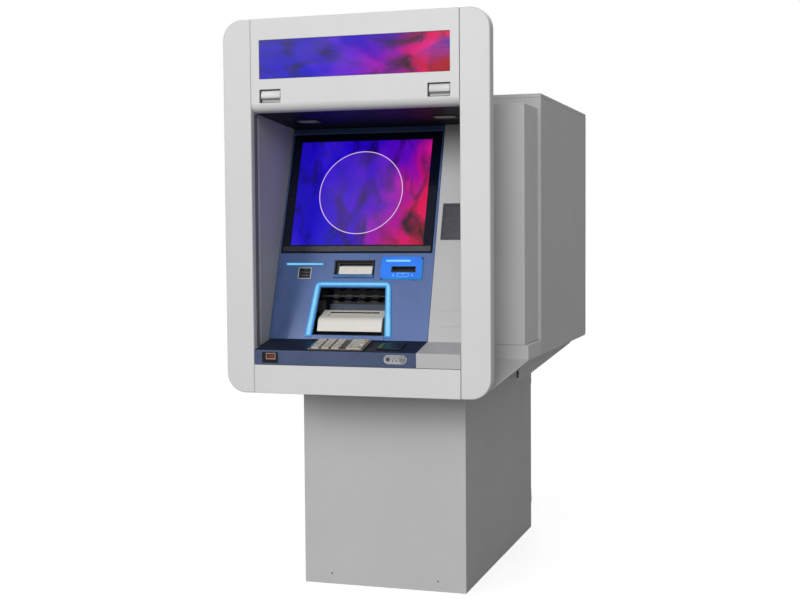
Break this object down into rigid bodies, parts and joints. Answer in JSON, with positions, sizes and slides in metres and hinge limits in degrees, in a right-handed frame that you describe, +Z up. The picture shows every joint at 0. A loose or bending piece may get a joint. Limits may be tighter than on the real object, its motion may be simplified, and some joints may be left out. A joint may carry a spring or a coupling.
{
  "type": "automated teller machine",
  "caption": "Through-the-wall cash machine with fascia surround, tilted console, PIN pad shelf, rear cabinet and pedestal safe.",
  "frame": {"origin": "on the floor under the centre of the overall bounding box", "axes": "+Z up, the customer's side faces -Y, +X to the customer's right"},
  "size_m": [0.7952, 1.1542, 1.5165],
  "materials": {
    "fascia": "satin light grey, fine texture",
    "sign": "backlit graphic, violet to red",
    "liner": "satin grey",
    "console_blue": "metallic slate blue",
    "display_glass": "polished black glass over a lit screen",
    "black_gloss": "glossy near-black",
    "blue_glow": "lit light-guide blue",
    "cream_tray": "smooth pale cream",
    "pad_steel": "brushed dark steel",
    "key_steel": "satin pale steel",
    "collar": "powder coat, light grey",
    "cabinet": "powder coat, mid grey",
    "pedestal": "powder coat, mid grey",
    "hardware": "polished",
    "module_steel": "plated sheet",
    "module_black": "matte black",
    "cassette": "moulded dark grey"
  },
  "bodies": {
    "frame": {"left_stile": "fascia", "right_stile": "fascia", "header_panel": "fascia", "lower_panel": "fascia", "sign_box": "sign", "alcove_liner": "liner", "side_panel": "liner", "console_panel": "console_blue", "shelf": "console_blue", "display_glass": "display_glass", "receipt_bezel": "black_gloss", "dispenser_throat": "black_gloss", "side_window": "black_gloss", "contactless_reader": "black_gloss", "card_bezel": "blue_glow", "dispenser_light": "blue_glow", "cash_tray": "cream_tray", "pin_pad": "pad_steel", "audio_plate": "pad_steel", "wall_collar": "collar", "ledge": "collar", "sloped_pan": "collar", "cabinet_shell": "cabinet", "cabinet_lid": "cabinet", "underside_skirt": "cabinet", "pedestal_cover": "pedestal", "safe_shell": "pedestal", "display_module": "module_black", "receipt_printer": "module_black", "card_reader": "module_black", "recycler_head": "module_black", "computer": "module_black", "power_supply": "module_black", "note_cassette_1": "cassette", "note_cassette_2": "cassette", "note_cassette_3": "cassette", "note_cassette_4": "cassette"},
    "key_1": {"key_1": "key_steel"},
    "key_2": {"key_2": "key_steel"},
    "key_3": {"key_3": "key_steel"},
    "key_cancel": {"key_cancel": "key_steel"},
    "key_4": {"key_4": "key_steel"},
    "key_5": {"key_5": "key_steel"},
    "key_6": {"key_6": "key_steel"},
    "key_clear": {"key_clear": "key_steel"},
    "key_7": {"key_7": "key_steel"},
    "key_8": {"key_8": "key_steel"},
    "key_9": {"key_9": "key_steel"},
    "key_help": {"key_help": "key_steel"},
    "key_blank_left": {"key_blank_left": "key_steel"},
    "key_0": {"key_0": "key_steel"},
    "key_blank_right": {"key_blank_right": "key_steel"},
    "key_enter": {"key_enter": "key_steel"},
    "volume_button": {"volume_button": "key_steel"},
    "dispenser_shutter": {"dispenser_shutter": "black_gloss"},
    "service_door": {"service_door": "cabinet"},
    "service_latch": {"service_latch": "hardware"},
    "safe_door": {"safe_door": "pedestal"},
    "safe_handle": {"safe_handle": "hardware"},
    "safe_bolts": {"safe_bolts": "module_steel"}
  },
  "joints": [
    {"name": "key_1_press", "type": "slide", "parent": "frame", "child": "key_1", "axis": [0, 0.2487, -0.9686], "range_m": [0, 0.0025], "stiffness_N_per_m": 600, "springref_m": -0.001},
    {"name": "key_2_press", "type": "slide", "parent": "frame", "child": "key_2", "axis": [0, 0.2487, -0.9686], "range_m": [0, 0.0025], "stiffness_N_per_m": 600, "springref_m": -0.001},
    {"name": "key_3_press", "type": "slide", "parent": "frame", "child": "key_3", "axis": [0, 0.2487, -0.9686], "range_m": [0, 0.0025], "stiffness_N_per_m": 600, "springref_m": -0.001},
    {"name": "key_cancel_press", "type": "slide", "parent": "frame", "child": "key_cancel", "axis": [0, 0.2487, -0.9686], "range_m": [0, 0.0025], "stiffness_N_per_m": 600, "springref_m": -0.001},
    {"name": "key_4_press", "type": "slide", "parent": "frame", "child": "key_4", "axis": [0, 0.2487, -0.9686], "range_m": [0, 0.0025], "stiffness_N_per_m": 600, "springref_m": -0.001},
    {"name": "key_5_press", "type": "slide", "parent": "frame", "child": "key_5", "axis": [0, 0.2487, -0.9686], "range_m": [0, 0.0025], "stiffness_N_per_m": 600, "springref_m": -0.001},
    {"name": "key_6_press", "type": "slide", "parent": "frame", "child": "key_6", "axis": [0, 0.2487, -0.9686], "range_m": [0, 0.0025], "stiffness_N_per_m": 600, "springref_m": -0.001},
    {"name": "key_clear_press", "type": "slide", "parent": "frame", "child": "key_clear", "axis": [0, 0.2487, -0.9686], "range_m": [0, 0.0025], "stiffness_N_per_m": 600, "springref_m": -0.001},
    {"name": "key_7_press", "type": "slide", "parent": "frame", "child": "key_7", "axis": [0, 0.2487, -0.9686], "range_m": [0, 0.0025], "stiffness_N_per_m": 600, "springref_m": -0.001},
    {"name": "key_8_press", "type": "slide", "parent": "frame", "child": "key_8", "axis": [0, 0.2487, -0.9686], "range_m": [0, 0.0025], "stiffness_N_per_m": 600, "springref_m": -0.001},
    {"name": "key_9_press", "type": "slide", "parent": "frame", "child": "key_9", "axis": [0, 0.2487, -0.9686], "range_m": [0, 0.0025], "stiffness_N_per_m": 600, "springref_m": -0.001},
    {"name": "key_help_press", "type": "slide", "parent": "frame", "child": "key_help", "axis": [0, 0.2487, -0.9686], "range_m": [0, 0.0025], "stiffness_N_per_m": 600, "springref_m": -0.001},
    {"name": "key_blank_left_press", "type": "slide", "parent": "frame", "child": "key_blank_left", "axis": [0, 0.2487, -0.9686], "range_m": [0, 0.0025], "stiffness_N_per_m": 600, "springref_m": -0.001},
    {"name": "key_0_press", "type": "slide", "parent": "frame", "child": "key_0", "axis": [0, 0.2487, -0.9686], "range_m": [0, 0.0025], "stiffness_N_per_m": 600, "springref_m": -0.001},
    {"name": "key_blank_right_press", "type": "slide", "parent": "frame", "child": "key_blank_right", "axis": [0, 0.2487, -0.9686], "range_m": [0, 0.0025], "stiffness_N_per_m": 600, "springref_m": -0.001},
    {"name": "key_enter_press", "type": "slide", "parent": "frame", "child": "key_enter", "axis": [0, 0.2487, -0.9686], "range_m": [0, 0.0025], "stiffness_N_per_m": 600, "springref_m": -0.001},
    {"name": "volume_press", "type": "slide", "parent": "frame", "child": "volume_button", "axis": [0, 1, 0], "range_m": [0, 0.002], "stiffness_N_per_m": 600, "springref_m": -0.001},
    {"name": "shutter_slide", "type": "slide", "parent": "frame", "child": "dispenser_shutter", "axis": [0, 0.3269, 0.9451], "range_m": [0, 0.028]},
    {"name": "service_door_hinge", "type": "hinge", "parent": "frame", "child": "service_door", "pos_m": [0.3915, 0.5441, 0.98], "axis": [0, 0, -1], "range_deg": [0, 105]},
    {"name": "service_latch_turn", "type": "hinge", "parent": "service_door", "child": "service_latch", "pos_m": [-0.335, 0.5561, 0.98], "axis": [0, -1, 0], "range_deg": [0, 90]},
    {"name": "safe_door_hinge", "type": "hinge", "parent": "frame", "child": "safe_door", "pos_m": [0.224, 0.4931, 0.31], "axis": [0, 0, -1], "range_deg": [0, 110]},
    {"name": "safe_handle_turn", "type": "hinge", "parent": "safe_door", "child": "safe_handle", "pos_m": [-0.12, 0.4871, 0.31], "axis": [0, 1, 0], "range_deg": [0, 90]},
    {"name": "safe_bolts_throw", "type": "slide", "parent": "safe_door", "child": "safe_bolts", "axis": [-1, 0, 0], "range_m": [0, 0.0145]}
  ],
  "couplings": [
    {"joint": "safe_bolts_throw", "follows": "safe_handle_turn", "m_per_rad": 0.009}
  ]
}
